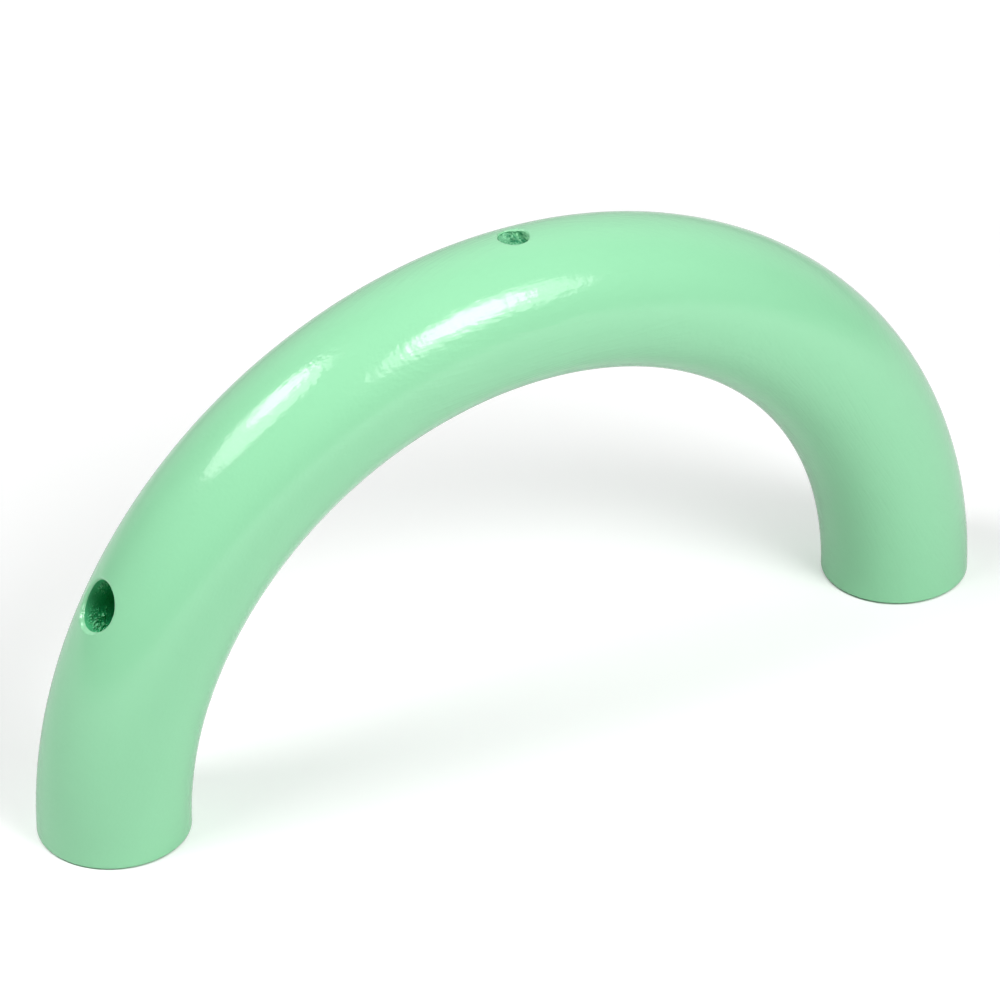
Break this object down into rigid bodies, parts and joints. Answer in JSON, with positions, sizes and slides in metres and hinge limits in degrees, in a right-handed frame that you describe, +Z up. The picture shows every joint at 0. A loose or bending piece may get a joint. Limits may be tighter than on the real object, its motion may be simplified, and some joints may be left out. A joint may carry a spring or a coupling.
{
  "type": "half ring of round wood",
  "caption": "Half ring of round-section wood in glossy mint green paint, standing on its two sawn ends, with a drilled socket in one flank and a small pilot hole at the crown.",
  "frame": {"origin": "on the floor, midway between the two feet, which is the centre of the ring", "axes": "+X to the right foot, away from the socket; +Y to the back, through the thickness; +Z up to the crown"},
  "size_m": [0.208, 0.03, 0.104],
  "materials": {
    "painted_wood": "gloss enamel over close-grained hardwood",
    "bare_wood": "bare beech, cut and fluted"
  },
  "bodies": {
    "root": {"right_segment": "painted_wood", "crown_segment": "painted_wood", "left_segment": "painted_wood", "right_outer_dowel": "bare_wood", "right_inner_dowel": "bare_wood", "left_outer_dowel": "bare_wood", "left_inner_dowel": "bare_wood"}
  },
  "joints": []
}
